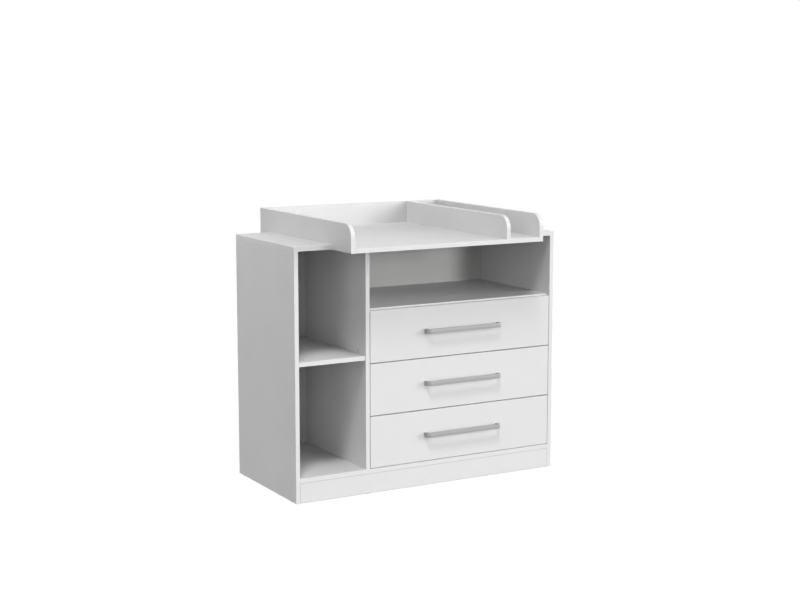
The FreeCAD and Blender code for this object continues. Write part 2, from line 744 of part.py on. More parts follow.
def roller(wall_x, way, near, y, z):
    """A nylon wheel with its bore, measured from the wall."""
    into = RIGHT * way
    start = V(wall_x, y, z) + into * near
    return rod(start, into, ROLLER_WIDTH, ROLLER_R).cut(rod(start, into, ROLLER_WIDTH, AXLE_R + AXLE_CLEAR))


def front_rollers(index):
    """The pair on the cabinet, which carries the drawer's tracks."""
    near = RUNNER_SHEET + ROLLER_SIDE_GAP
    z = runner_z(index) + front_roller_rise
    return group([roller(wall_x, way, near, front_axle_y, z) for wall_x, way in runner_sides()])


def rear_rollers(index):
    """The pair on the drawer, which runs in the cabinet's channels."""
    near = drawer_runner_reach - ROLLER_SIDE_GAP - ROLLER_WIDTH
    z = runner_z(index) + rear_roller_rise
    return group([roller(wall_x, way, near, rear_axle_y, z) for wall_x, way in runner_sides()])


def drawer_runner(wall_x, way, index):
    """An angle under the drawer side with a track on top and the rear roller's axle."""
    z = runner_z(index)
    low = z + DRAWER_RUNNER_LIFT
    high = z + track_top
    y0 = runner_front_y
    y1 = runner_rear_y
    web = strip(wall_x, way, drawer_runner_reach, RUNNER_SPACE, y0, y1, low, high)
    foot = strip(wall_x, way, drawer_runner_reach, RUNNER_SPACE + DRAWER_SIDE_T, y0, y1, low, low + RUNNER_SHEET)
    track_near = RUNNER_SHEET + TRACK_WALL_GAP
    track = strip(wall_x, way, track_near, RUNNER_SPACE, y0, y1, z + track_under, high)
    out = RIGHT * -way
    axle_start = V(wall_x, rear_axle_y, z + rear_roller_rise) - out * RUNNER_SPACE
    axle_reach = RUNNER_SHEET + ROLLER_SIDE_GAP + ROLLER_WIDTH + AXLE_HEAD_GAP
    axle = rod(axle_start, out, axle_reach, AXLE_R)
    head = rod(axle_start + out * axle_reach, out, AXLE_HEAD_T, AXLE_HEAD_R)
    angle = web.fuse([foot, track, axle, head]).removeSplitter()
    return cut_all(angle, [countersink(place, -way) for place in side_screws(wall_x, way, index)])


def side_screws(wall_x, way, index):
    """Where one drawer runner's screws enter the drawer side."""
    return runner_screws_at(wall_x + way * RUNNER_SPACE, index)


def drawer_runners(index):
    return group([drawer_runner(wall_x, way, index) for wall_x, way in runner_sides()])


# --- Drawers ----------------------------------------------------------------------------------------
def box_z(index):
    """Lower edge of a drawer's sides."""
    return runner_z(index) + box_lift


def handle_z(index):
    return front_z(index) + front_height / 2 + HANDLE_RISE


def handle_leg_places(index):
    """Middle of each handle leg on the drawer front's outer face."""
    offset = HANDLE_LENGTH / 2 - HANDLE_LEG_T / 2
    return [V(front_mid_x + side * offset, front_y, handle_z(index)) for side in (-1, 1)]


def drawer_front(index):
    z = front_z(index)
    panel = board(front_left_x, front_right_x, front_y, front_rear_y, z, z + front_height)
    radius = HANDLE_SCREW_R + HANDLE_SCREW_CLEAR
    return cut_all(panel, [rod(place, REAR, FRONT_T, radius) for place in handle_leg_places(index)])


def drawer_side(wall_x, way, index):
    z = box_z(index)
    far = RUNNER_SPACE + DRAWER_SIDE_T
    side = strip(wall_x, way, RUNNER_SPACE, far, front_rear_y, box_rear_y, z, z + DRAWER_SIDE_HEIGHT)
    side = side.makeFillet(DRAWER_EDGE_R, side.Edges)
    length = SIDE_SCREW_LENGTH + SCREW_CLEAR
    radius = SCREW_R + SCREW_CLEAR
    pilots = [rod(place, RIGHT * way, length, radius) for place in side_screws(wall_x, way, index)]
    return cut_all(side, [bottom_slot(index)] + pilots)


def bottom_slot(index):
    """The groove around the drawer's bottom sheet, in its sides and its back."""
    z = box_z(index) + DRAWER_BOTTOM_LIFT
    x0 = box_left_x + DRAWER_SIDE_T - DRAWER_BOTTOM_BITE - GROOVE_CLEAR
    x1 = box_right_x - DRAWER_SIDE_T + DRAWER_BOTTOM_BITE + GROOVE_CLEAR
    return block(x0, x1, front_rear_y, box_rear_y, z - GROOVE_CLEAR, z + DRAWER_BOTTOM_T + GROOVE_CLEAR)


def drawer_left_side(index):
    return drawer_side(partition_right_x, 1, index)


def drawer_right_side(index):
    return drawer_side(bay_right_x, -1, index)


def drawer_back(index):
    """Stands on the bottom sheet, between the sides."""
    z = box_z(index)
    x0 = box_left_x + DRAWER_SIDE_T
    x1 = box_right_x - DRAWER_SIDE_T
    low = z + DRAWER_BOTTOM_LIFT + DRAWER_BOTTOM_T
    high = z + DRAWER_SIDE_HEIGHT - DRAWER_BACK_DROP
    return board(x0, x1, box_rear_y - DRAWER_SIDE_T, box_rear_y, low, high, DRAWER_EDGE_R)


def drawer_bottom(index):
    z = box_z(index) + DRAWER_BOTTOM_LIFT
    x0 = box_left_x + DRAWER_SIDE_T - DRAWER_BOTTOM_BITE
    x1 = box_right_x - DRAWER_SIDE_T + DRAWER_BOTTOM_BITE
    return block(x0, x1, front_rear_y, box_rear_y, z, z + DRAWER_BOTTOM_T)


def handle_outline(x_out, y_out, radius):
    """Half of a long slot: straight legs from the drawer front, and two bends."""
    z = -HANDLE_HEIGHT / 2
    k = radius * (1 - 0.5 ** 0.5)
    left = Part.Arc(V(-x_out, y_out + radius, z), V(-x_out + k, y_out + k, z), V(-x_out + radius, y_out, z))
    right = Part.Arc(V(x_out - radius, y_out, z), V(x_out - k, y_out + k, z), V(x_out, y_out + radius, z))
    edges = [
        Part.makeLine(V(-x_out, 0, z), V(-x_out, y_out + radius, z)),
        left.toShape(),
        Part.makeLine(V(-x_out + radius, y_out, z), V(x_out - radius, y_out, z)),
        right.toShape(),
        Part.makeLine(V(x_out, y_out + radius, z), V(x_out, 0, z)),
        Part.makeLine(V(x_out, 0, z), V(-x_out, 0, z)),
    ]
    return Part.Face(Part.Wire(edges)).extrude(V(0, 0, HANDLE_HEIGHT))


def handle_long_edges(solid):
    """The edges along the top and bottom of the bow."""
    half = HANDLE_HEIGHT / 2
    picked = []
    for edge in solid.Edges:
        box = edge.BoundBox
        flat = box.ZLength < THREAD_CLEAR and abs(abs(box.ZMin) - half) < THREAD_CLEAR
        if flat and box.YMin < -HANDLE_EDGE_R:
            picked.append(edge)
    return picked


def drawer_handle(index):
    """A bow handle: a flat bar bent back to the drawer front at both ends."""
    outer = handle_outline(HANDLE_LENGTH / 2, -HANDLE_REACH, HANDLE_BEND_R)
    inner_x = HANDLE_LENGTH / 2 - HANDLE_LEG_T
    bow = outer.cut(handle_outline(inner_x, -HANDLE_REACH + HANDLE_BAR_T, HANDLE_INNER_R))
    bow = bow.makeFillet(HANDLE_EDGE_R, handle_long_edges(bow))
    bow.translate(V(front_mid_x, front_y, handle_z(index)))
    radius = HANDLE_SCREW_R + THREAD_CLEAR
    deep = HANDLE_SCREW_BITE + DOWEL_END_GAP
    return cut_all(bow, [rod(place, FRONT, deep, radius) for place in handle_leg_places(index)])


def drawer_screws(index):
    """The two handle screws and the six screws of the drawer's runners."""
    screws = []
    for place in handle_leg_places(index):
        head_start = V(place.x, front_rear_y, place.z)
        head = rod(head_start, REAR, HANDLE_SCREW_HEAD_T, HANDLE_SCREW_HEAD_R)
        shank = rod(head_start, FRONT, FRONT_T + HANDLE_SCREW_BITE, HANDLE_SCREW_R)
        screws.append(head.fuse(shank).removeSplitter())
    for wall_x, way in runner_sides():
        for place in side_screws(wall_x, way, index):
            screws.append(sheet_screw(place, -way, SIDE_SCREW_LENGTH))
    return group(screws)


# --- All nodes --------------------------------------------------------------------------------------
CABINET_NODES = (
    left_side_panel,
    right_side_panel,
    partition_panel,
    top_panel,
    bottom_panel,
    front_plinth,
    rear_plinth,
    niche_shelf,
    adjustable_shelf,
    shelf_pins,
    back_panel_left,
    back_panel_right,
    back_panel_nails,
    floor_glides,
    runner_screws,
)
TRAY_NODES = (
    tray_left_wall,
    tray_right_wall,
    tray_divider,
    tray_back_wall,
    tray_front_board,
    tray_rear_board,
    tray_screws,
)
DRAWER_NODES = (
    ("front", drawer_front),
    ("left_side", drawer_left_side),
    ("right_side", drawer_right_side),
    ("back", drawer_back),
    ("bottom", drawer_bottom),
    ("handle", drawer_handle),
    ("screws", drawer_screws),
    ("runners", drawer_runners),
    ("rear_rollers", rear_rollers),
    ("cabinet_runners", cabinet_runners),
    ("front_rollers", front_rollers),
)


def all_nodes():
    nodes = {make.__name__: make() for make in CABINET_NODES + TRAY_NODES}
    nodes["cam_locks"] = group([cam_lock(joint) for joint in cam_joints()])
    nodes["cam_bolts"] = group([cam_bolt(joint) for joint in cam_joints()])
    nodes["cam_caps"] = group([cam_cap(joint) for joint in cam_joints() if joint.capped])
    nodes["cabinet_dowels"] = group([dowel(joint) for joint in cabinet_dowel_joints()])
    nodes["tray_dowels"] = group([dowel(joint) for joint in tray_dowel_joints()])
    for index, drawer in enumerate(DRAWER_NAMES):
        for part_name, make in DRAWER_NODES:
            nodes[drawer + "_" + part_name] = make(index)
    return nodes


os.makedirs("parts", exist_ok=True)
for node_name, node_shape in all_nodes().items():
    node_shape.exportStep("parts/" + node_name + ".step")
    print(node_name, len(node_shape.Solids), node_shape.isValid(), round(node_shape.Volume / 1000.0, 1))
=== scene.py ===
"""Finishes, smooth fittings and the studio for a white changing dresser.

The boards, runners, sheets, cams, bolts, dowels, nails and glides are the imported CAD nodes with
their real finishes. The bow handles, rollers, caps, shelf pins and screws are new surfaces that
stand for their CAD nodes. Lengths are metres, except where a name ends in _mm.
"""
import logging
import math
from dataclasses import dataclass, field
from enum import Enum
from typing import Any

import bmesh
import bpy
import numpy as np
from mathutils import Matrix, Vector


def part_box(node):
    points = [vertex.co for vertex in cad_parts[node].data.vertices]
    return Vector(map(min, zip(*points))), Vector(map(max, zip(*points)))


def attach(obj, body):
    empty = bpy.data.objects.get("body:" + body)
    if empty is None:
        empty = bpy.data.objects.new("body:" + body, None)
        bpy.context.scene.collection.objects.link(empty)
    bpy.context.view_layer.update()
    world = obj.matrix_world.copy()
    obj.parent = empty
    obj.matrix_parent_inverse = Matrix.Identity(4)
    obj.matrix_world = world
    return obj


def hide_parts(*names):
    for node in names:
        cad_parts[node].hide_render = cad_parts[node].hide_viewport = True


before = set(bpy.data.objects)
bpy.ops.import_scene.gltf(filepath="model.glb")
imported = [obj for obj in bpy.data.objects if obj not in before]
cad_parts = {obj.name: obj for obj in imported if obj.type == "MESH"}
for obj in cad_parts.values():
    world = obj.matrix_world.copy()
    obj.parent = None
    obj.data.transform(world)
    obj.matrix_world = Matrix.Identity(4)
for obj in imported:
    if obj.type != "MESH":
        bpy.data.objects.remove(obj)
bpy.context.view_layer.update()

log = logging.getLogger("changing_dresser")
MM = 0.001
MERGE_M = 1e-7              # points closer than this are one point
PLACE_DECIMALS = 6          # corners that agree to a micrometre are at one place
ORDER_DECIMALS = 4          # solids are put in order by tenths of a millimetre
NOISE_SPAN = (0.3, 0.7)     # a noise texture hardly leaves this range
RECESS_WALL = 0.25          # share of an arm's half width that a cross recess's wall slopes over
RECESS_END = 1.15           # its depth runs out at this many times its reach
RECESS_FACE_MM = 0.5        # rows of a head deeper than this aren't recessed
WHITE = (1.0, 1.0, 1.0, 1.0)
RIGHT = np.array([1.0, 0.0, 0.0])
DRAWERS = ("bottom_drawer", "middle_drawer", "top_drawer")
Box = tuple[np.ndarray, np.ndarray]


class Axis(Enum):
    """A direction in the row frame; its value is the coordinate's number."""

    X = 0
    Y = 1
    Z = 2


# --- Shader and mesh helpers -------------------------------------------------------------------
def linear(hex_colour: str) -> tuple[float, float, float, float]:
    """Turns an sRGB colour such as "#E4E4E4" into linear RGBA."""
    srgb = [int(hex_colour[i:i + 2], 16) / 255.0 for i in (1, 3, 5)]
    red, green, blue = (c / 12.92 if c <= 0.04045 else ((c + 0.055) / 1.055) ** 2.4 for c in srgb)
    return red, green, blue, 1.0


def add_node(tree: bpy.types.NodeTree, kind: str, settings: dict[str, Any] | None = None,
             inputs: dict[str | int, Any] | None = None) -> bpy.types.Node:
    """Adds one shader node with its settings and its inputs.

    Args:
        tree: node tree that gets the node.
        kind: type of the node, without its "ShaderNode".
        settings: attributes of the node.
        inputs: by socket name or number, a value, or another node's output to link.

    Returns:
        The new node.
    """
    node = tree.nodes.new("ShaderNode" + kind)
    for name, value in (settings or {}).items():
        setattr(node, name, value)
    for key, value in (inputs or {}).items():
        if isinstance(value, bpy.types.NodeSocket):
            tree.links.new(value, node.inputs[key])
        else:
            node.inputs[key].default_value = value
    return node


def empty_material(name: str) -> tuple[bpy.types.Material, bpy.types.NodeTree]:
    """Makes a material whose node tree has no nodes yet.

    Args:
        name: the material's name.

    Returns:
        The material and its node tree.
    """
    material = bpy.data.materials.new(name)
    material.use_nodes = True
    material.node_tree.nodes.clear()
    return material, material.node_tree


def surface(tree: bpy.types.NodeTree, inputs: dict[str | int, Any]) -> None:
    """Adds the Principled shader with these inputs and joins it to the output.

    Args:
        tree: the material's node tree.
        inputs: values and links of the shader.
    """
    shader = add_node(tree, "BsdfPrincipled", None, inputs)
    add_node(tree, "OutputMaterial", None, {"Surface": shader.outputs[0]})


def edge_mask(tree: bpy.types.NodeTree, place: bpy.types.Node, thin: Axis,
              tilt_limit: float) -> bpy.types.NodeSocket:
    """One where a board's surface faces away from its thickness, which is its edge.

    Args:
        tree: the material's node tree.
        place: its texture coordinates.
        thin: direction of the board's thickness.
        tilt_limit: the normal's part along the thickness is under this on an edge.

    Returns:
        The socket that holds one on edges and zero on faces.
    """
    normal = add_node(tree, "SeparateXYZ", None, {0: place.outputs["Normal"]})
    tilt = add_node(tree, "Math", {"operation": "ABSOLUTE"}, {0: normal.outputs[thin.value]})
    return add_node(tree, "Math", {"operation": "LESS_THAN"},
                    {0: tilt.outputs[0], 1: tilt_limit}).outputs[0]


def paint(node: str, material: bpy.types.Material) -> None:
    """Gives a CAD node its finish by its object's material slots."""
    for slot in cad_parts[node].material_slots:
        slot.material = material


def quads(rows: int, columns: int) -> np.ndarray:
    """Corner numbers of the quads of a tube of points.

    Quad (i, j) joins points (i, j), (i+1, j), (i+1, j+1) and (i, j+1). Columns are counted round,
    so the last one joins the first one.

    Args:
        rows: number of rings.
        columns: number of points in a ring.

    Returns:
        An array of quads by four corners.
    """
    i, j = np.arange(rows - 1)[:, None], np.arange(columns)[None, :]
    down, right = i + 1, (j + 1) % columns
    corners = [i * columns + j, down * columns + j, down * columns + right, i * columns + right]
    return np.stack(corners, -1).reshape(-1, 4)


def solids_of(node: str) -> list[Box]:
    """Lowest and highest corner of each separate solid of a CAD node.

    Corners at one place count as one point. Every point starts with its own number and takes the
    smallest number among its triangles' corners until nothing changes, so a solid ends with one.

    Args:
        node: the CAD node's name.

    Returns:
        The corner pairs, in order of X, then Y, then Z.
    """
    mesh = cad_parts[node].data
    points = np.zeros(len(mesh.vertices) * 3, np.float32)
    mesh.vertices.foreach_get("co", points)
    corners = np.zeros(len(mesh.loops), np.int32)
    mesh.loops.foreach_get("vertex_index", corners)
    rounded = np.round(points.reshape(-1, 3), PLACE_DECIMALS)
    places, same = np.unique(rounded, axis=0, return_inverse=True)
    triangles = same.reshape(-1)[corners].reshape(-1, 3)
    label = np.arange(len(places))
    while True:
        lowest = label[triangles].min(1)
        wider = label.copy()
        np.minimum.at(wider, triangles, lowest[:, None])
        if np.array_equal(wider, label):
            break
        label = wider
    groups = [places[label == number] for number in np.unique(label)]
    found = [(group.min(0), group.max(0)) for group in groups]
    return sorted(found, key=lambda pair: tuple(pair[0].round(ORDER_DECIMALS)))


def left_end(low: np.ndarray, high: np.ndarray) -> np.ndarray:
    """Middle of the left end of a solid that lies along X."""
    return np.array([low[0], *((low + high) / 2)[1:]])


def build(name: str, grids: list[np.ndarray], body: str, stands_for: str,
          material: bpy.types.Material, lengths: tuple[np.ndarray, np.ndarray] | None = None,
          smooth_deg: float = 32.0) -> None:
    """Makes one piece from closed tubes of points and puts it in place of a CAD node.

    Every grid is rows of rings. The first and last ring of a grid are either one point repeated,
    which becomes a pole, or an open ring, which gets a flat lid.

    Args:
        name: the piece's name.
        grids: arrays of rows by columns by three, in the row frame.
        body: the CAD body that the piece rides on.
        stands_for: the CAD node that it replaces.
        material: the piece's finish.
        lengths: path length by row and girth by column, kept as the UV map of a single grid.
        smooth_deg: an edge that bends more than this stays sharp.
    """
    faces, start = [], 0
    for grid in grids:
        rows, columns = grid.shape[:2]
        faces += (quads(rows, columns) + start).tolist()
        for row in (0, rows - 1):
            if np.ptp(grid[row], axis=0).max() > MERGE_M:
                faces.append((np.arange(columns) + row * columns + start).tolist())
        start += rows * columns
    mesh = bpy.data.meshes.new(name)
    mesh.from_pydata(np.concatenate([grid.reshape(-1, 3) for grid in grids]), [], faces)
    if lengths is not None:
        write_uv(mesh, *lengths)
    close_up(mesh)
    mesh.set_sharp_from_angle(angle=math.radians(smooth_deg))
    mesh.materials.append(material)
    piece = bpy.data.objects.new(name, mesh)
    bpy.context.scene.collection.objects.link(piece)
    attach(piece, body)
    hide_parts(stands_for)
    log.info("%s: %d faces on %s, in place of %s", name, len(mesh.polygons), body, stands_for)


def write_uv(mesh: bpy.types.Mesh, along: np.ndarray, around: np.ndarray) -> None:
    """Gives the quads of one closed tube a UV map in metres, and its lids zeros.

    U is the path length of a corner's row and V the girth at its column. The last column's quads
    end at the full girth, so the map has no jump.

    Args:
        mesh: the tube, its quads first and in the order of quads().
        along: path length of each row.
        around: girth at each column and once more at the seam.
    """
    rows, columns = len(along), len(around) - 1
    i = np.repeat(np.arange(rows - 1), columns)
    j = np.tile(np.arange(columns), rows - 1)
    u = np.stack([along[i], along[i + 1], along[i + 1], along[i]], -1)
    v = np.stack([around[j], around[j], around[j + 1], around[j + 1]], -1)
    values = np.zeros((len(mesh.loops), 2), np.float32)
    values[:u.size] = np.stack([u.reshape(-1), v.reshape(-1)], -1)
    mesh.uv_layers.new(name="girth").data.foreach_set("uv", values.reshape(-1))


def close_up(mesh: bpy.types.Mesh) -> None:
    """Merges points at one place, so poles close, and turns all faces outwards."""
    work = bmesh.new()
    work.from_mesh(mesh)
    bmesh.ops.remove_doubles(work, verts=work.verts, dist=MERGE_M)
    bmesh.ops.recalc_face_normals(work, faces=work.faces)
    work.to_mesh(mesh)
    work.free()
    mesh.shade_smooth()


def turned(profile: np.ndarray, start: np.ndarray, way: np.ndarray, steps: int,
           cross_mm: tuple[float, float, float] | None = None) -> np.ndarray:
    """Rings of a turned shape, as rows by columns by three.

    Point (i, a) is start + way * t + side * r * cos(a) + up * r * sin(a), with t and r from row i
    of the profile. With a cross recess, points inside its four arms sink along way by a depth
    that falls from the middle to the arm's end.

    Args:
        profile: rows of distance along the axis and radius, in mm.
        start: the point on the axis that distances count from.
        way: unit vector of the axis, into the shape.
        steps: points around.
        cross_mm: half length, half width and depth of a cross recess in the first rows.

    Returns:
        The grid of points.
    """
    side = np.roll(way, 1)
    up = np.cross(way, side)
    angle = np.linspace(0, 2 * np.pi, steps, endpoint=False)[None, :]
    along = np.repeat(profile[:, :1], steps, 1)
    across, over = profile[:, 1:] * np.cos(angle), profile[:, 1:] * np.sin(angle)
    if cross_mm is not None:
        reach, half, depth = cross_mm
        long_way = np.maximum(abs(across), abs(over))
        short_way = np.minimum(abs(across), abs(over))
        inside = np.clip((half - short_way) / (RECESS_WALL * half) + 0.5, 0, 1)
        sink = depth * np.clip(RECESS_END - long_way / reach, 0, 1) * inside
        along = along + np.where(profile[:, :1] < RECESS_FACE_MM, sink, 0)
    local = (along[..., None] * way + across[..., None] * side + over[..., None] * up) * MM
    return start + local


# --- Finishes ----------------------------------------------------------------------------------
@dataclass(frozen=True)
class MelamineBoard:
    """White melamine-faced chipboard with a plastic band around its edges.

    Decor paper pressed under a pearl-textured steel plate: an even neutral white with a broad,
    soft sheen. The extruded band is smoother and a shade lighter, and a fine glue line runs
    beside it. Bores and grooves show the raw, straw-brown chips of the core.
    """

    face_hex: str = "#DDDDDD"
    shade_hex: str = "#DADADA"
    band_hex: str = "#DEDEDE"
    glue_hex: str = "#BEBDBA"
    chip_hex: str = "#B4946A"
    chip_dark_hex: str = "#7E6344"
    face_roughness: float = 0.50
    band_roughness: float = 0.38
    cloud_mm: float = 120.0     # slow drift of tone and sheen across a pressed sheet
    pearl_mm: float = 1.6       # pressed texture, real pores are about 0.8 mm
    pearl_depth_mm: float = 0.012
    band_mm: float = 0.8
    glue_mm: float = 0.3        # the real line is 0.1 mm, drawn wider so that it shows close up
    chip_mm: float = 1.8
    outline_mm: float = 0.4     # a wall further inside the board than this was cut into it
    swing: float = 0.05         # the roughness drifts by this to either side
    band_tilt: float = 0.75     # limit of the edge mask
    ior: float = 1.5

    def material(self, name: str, thin: Axis, banded_box: Box | None) -> bpy.types.Material:
        """Makes the finish of one board.

        Args:
            name: the board's name.
            thin: direction of the board's thickness.
            banded_box: the board's corners, for its glue lines and bores, or None for a
                wrapped board.

        Returns:
            The material.
        """
        material, tree = empty_material("pressed_white_melamine_" + name)
        place = add_node(tree, "TexCoord")
        band = edge_mask(tree, place, thin, self.band_tilt)
        clouds = add_node(tree, "TexNoise", None, {
            "Vector": place.outputs["Object"], "Scale": 1 / (self.cloud_mm * MM), "Detail": 2.0})
        face = add_node(tree, "Mix", {"data_type": "RGBA"}, {
            0: clouds.outputs[0], 6: linear(self.face_hex), 7: linear(self.shade_hex)})
        colour = add_node(tree, "Mix", {"data_type": "RGBA"}, {
            0: band, 6: face.outputs[2], 7: linear(self.band_hex)})
        if banded_box is not None:
            inward = self.inward(tree, place, thin, banded_box)
            colour = self.glued(tree, colour, inward, band)
            colour = self.bored(tree, place, colour, inward, band)
        sheen = add_node(tree, "MapRange", None, {
            "Value": clouds.outputs[0], "From Min": NOISE_SPAN[0], "From Max": NOISE_SPAN[1],
            "To Min": self.face_roughness - self.swing,
            "To Max": self.face_roughness + self.swing})
        roughness = add_node(tree, "Mix", None, {
            0: band, 2: sheen.outputs[0], 3: self.band_roughness})
        pores = add_node(tree, "TexNoise", None, {
            "Vector": place.outputs["Object"], "Scale": 1 / (self.pearl_mm * MM), "Detail": 1.0})
        bump = add_node(tree, "Bump", None, {
            "Height": pores.outputs[0], "Distance": self.pearl_depth_mm * MM})
        surface(tree, {"Base Color": colour.outputs[2], "Roughness": roughness.outputs[0],
                       "Normal": bump.outputs[0], "IOR": self.ior})
        return material

    def inward(self, tree: bpy.types.NodeTree, place: bpy.types.Node, thin: Axis,
               box: Box) -> bpy.types.NodeSocket:
        """Distance from the board's outline.

        It is the smaller of half size minus distance from the middle, over the board's two long
        directions.

        Args:
            tree: the material's node tree.
            place: its texture coordinates.
            thin: direction of the board's thickness.
            box: the board's lowest and highest corner.

        Returns:
            The socket that holds the distance in metres.
        """
        middle, half = (box[0] + box[1]) / 2, (box[1] - box[0]) / 2
        offset = add_node(tree, "VectorMath", {"operation": "SUBTRACT"},
                          {0: place.outputs["Object"], 1: tuple(middle)})
        away = add_node(tree, "VectorMath", {"operation": "ABSOLUTE"}, {0: offset.outputs[0]})
        left = add_node(tree, "VectorMath", {"operation": "SUBTRACT"},
                        {0: tuple(half), 1: away.outputs[0]})
        parts = add_node(tree, "SeparateXYZ", None, {0: left.outputs[0]})
        first, second = (parts.outputs[axis.value] for axis in Axis if axis is not thin)
        return add_node(tree, "Math", {"operation": "MINIMUM"}, {0: first, 1: second}).outputs[0]

    def glued(self, tree: bpy.types.NodeTree, colour: bpy.types.Node,
              inward: bpy.types.NodeSocket, band: bpy.types.NodeSocket) -> bpy.types.Node:
        """Draws the glue line on the faces, a band's thickness inside the outline. On the plinths
        it is drawn wider and darker, as a painted shadow in the open joint.

        Args:
            tree: the material's node tree.
            colour: the colour so far.
            inward: distance from the outline.
            band: one on the band itself, which has no line.

        Returns:
            The colour with the line.
        """
        beside = add_node(tree, "Math", {"operation": "COMPARE"}, {
            0: inward, 1: self.band_mm * MM, 2: self.glue_mm * MM / 2})
        line = add_node(tree, "Math", {"operation": "SUBTRACT", "use_clamp": True},
                        {0: beside.outputs[0], 1: band})
        return add_node(tree, "Mix", {"data_type": "RGBA"}, {
            0: line.outputs[0], 6: colour.outputs[2], 7: linear(self.glue_hex)})

    def bored(self, tree: bpy.types.NodeTree, place: bpy.types.Node, colour: bpy.types.Node,
              inward: bpy.types.NodeSocket, band: bpy.types.NodeSocket) -> bpy.types.Node:
        """Shows the chips of the core on the walls of bores and grooves.

        Args:
            tree: the material's node tree.
            place: its texture coordinates.
            colour: the colour so far.
            inward: distance from the outline.
            band: one where the surface faces as a band does.

        Returns:
            The colour with the core.
        """
        chips = add_node(tree, "TexNoise", None, {
            "Vector": place.outputs["Object"], "Scale": 1 / (self.chip_mm * MM), "Detail": 3.0})
        core = add_node(tree, "Mix", {"data_type": "RGBA"}, {
            0: chips.outputs[0], 6: linear(self.chip_hex), 7: linear(self.chip_dark_hex)})
        inside = add_node(tree, "Math", {"operation": "GREATER_THAN"},
                          {0: inward, 1: self.outline_mm * MM})
        wall = add_node(tree, "Math", {"operation": "MULTIPLY"}, {0: inside.outputs[0], 1: band})
        return add_node(tree, "Mix", {"data_type": "RGBA"}, {
            0: wall.outputs[0], 6: colour.outputs[2], 7: core.outputs[2]})


@dataclass(frozen=True)
class WhiteHardboard:
    """Thin wood-fibre board, roller-coated white on its faces, with raw brown edges.

    The coat is flatter than melamine and lets the pressed fibres show as a faint cloudy relief.
    """

    face_hex: str = "#DADAD9"
    shade_hex: str = "#D5D5D4"
    fibre_hex: str = "#8E6E4C"
    fibre_dark_hex: str = "#6B4F35"
    roughness: float = 0.58
    fibre_mm: float = 2.4       # clumps of pressed fibre
    relief_mm: float = 0.02
    edge_tilt: float = 0.7      # limit of the edge mask
    ior: float = 1.5

    def material(self, thin: Axis) -> bpy.types.Material:
        """Makes the finish for sheets that lie across one direction.

        Args:
            thin: direction of the sheet's thickness.

        Returns:
            The material.
        """
        material, tree = empty_material("roller_coated_hardboard_" + thin.name.lower())
        place = add_node(tree, "TexCoord")
        edge = edge_mask(tree, place, thin, self.edge_tilt)
        fibres = add_node(tree, "TexNoise", None, {
            "Vector": place.outputs["Object"], "Scale": 1 / (self.fibre_mm * MM), "Detail": 4.0})
        coat = add_node(tree, "Mix", {"data_type": "RGBA"}, {
            0: fibres.outputs[0], 6: linear(self.face_hex), 7: linear(self.shade_hex)})
        raw = add_node(tree, "Mix", {"data_type": "RGBA"}, {
            0: fibres.outputs[0], 6: linear(self.fibre_hex), 7: linear(self.fibre_dark_hex)})
        colour = add_node(tree, "Mix", {"data_type": "RGBA"}, {
            0: edge, 6: coat.outputs[2], 7: raw.outputs[2]})
        bump = add_node(tree, "Bump", None, {
            "Height": fibres.outputs[0], "Distance": self.relief_mm * MM})
        surface(tree, {"Base Color": colour.outputs[2], "Roughness": self.roughness,
                       "Normal": bump.outputs[0], "IOR": self.ior})
        return material


@dataclass(frozen=True)
class SatinSilver:
    """Aluminium bar, brushed along its length and sprayed with a thin silver lacquer.

    The lacquer is grey with fine metal flakes, so the bar shades nearly like paint, with a soft
    sheen and faint lengthwise lines that show through.
    """

    base_hex: str = "#A0A0A0"
    line_hex: str = "#969696"
    metallic: float = 0.35
    roughness: float = 0.42
    swing: float = 0.05
    line_mm: tuple[float, float] = (28.0, 0.45)  # length and width, real lines are 0.05 mm wide
    depth_mm: float = 0.006

    def material(self) -> bpy.types.Material:
        """Makes the finish, its lines laid along the bow by the piece's own map in metres."""
        material, tree = empty_material("silver_lacquered_brushed_aluminium")
        place = add_node(tree, "TexCoord")
        stretch = add_node(tree, "Mapping", None, {
            "Vector": place.outputs["UV"],
            "Scale": (1 / (self.line_mm[0] * MM), 1 / (self.line_mm[1] * MM), 1.0)})
        lines = add_node(tree, "TexNoise", None, {
            "Vector": stretch.outputs[0], "Scale": 1.0, "Detail": 3.0})
        colour = add_node(tree, "Mix", {"data_type": "RGBA"}, {
            0: lines.outputs[0], 6: linear(self.base_hex), 7: linear(self.line_hex)})
        roughness = add_node(tree, "MapRange", None, {
            "Value": lines.outputs[0], "From Min": NOISE_SPAN[0], "From Max": NOISE_SPAN[1],
            "To Min": self.roughness - self.swing, "To Max": self.roughness + self.swing})
        bump = add_node(tree, "Bump", None, {
            "Height": lines.outputs[0], "Distance": self.depth_mm * MM})
        surface(tree, {"Base Color": colour.outputs[2], "Metallic": self.metallic,
                       "Roughness": roughness.outputs[0], "Normal": bump.outputs[0]})
        return material


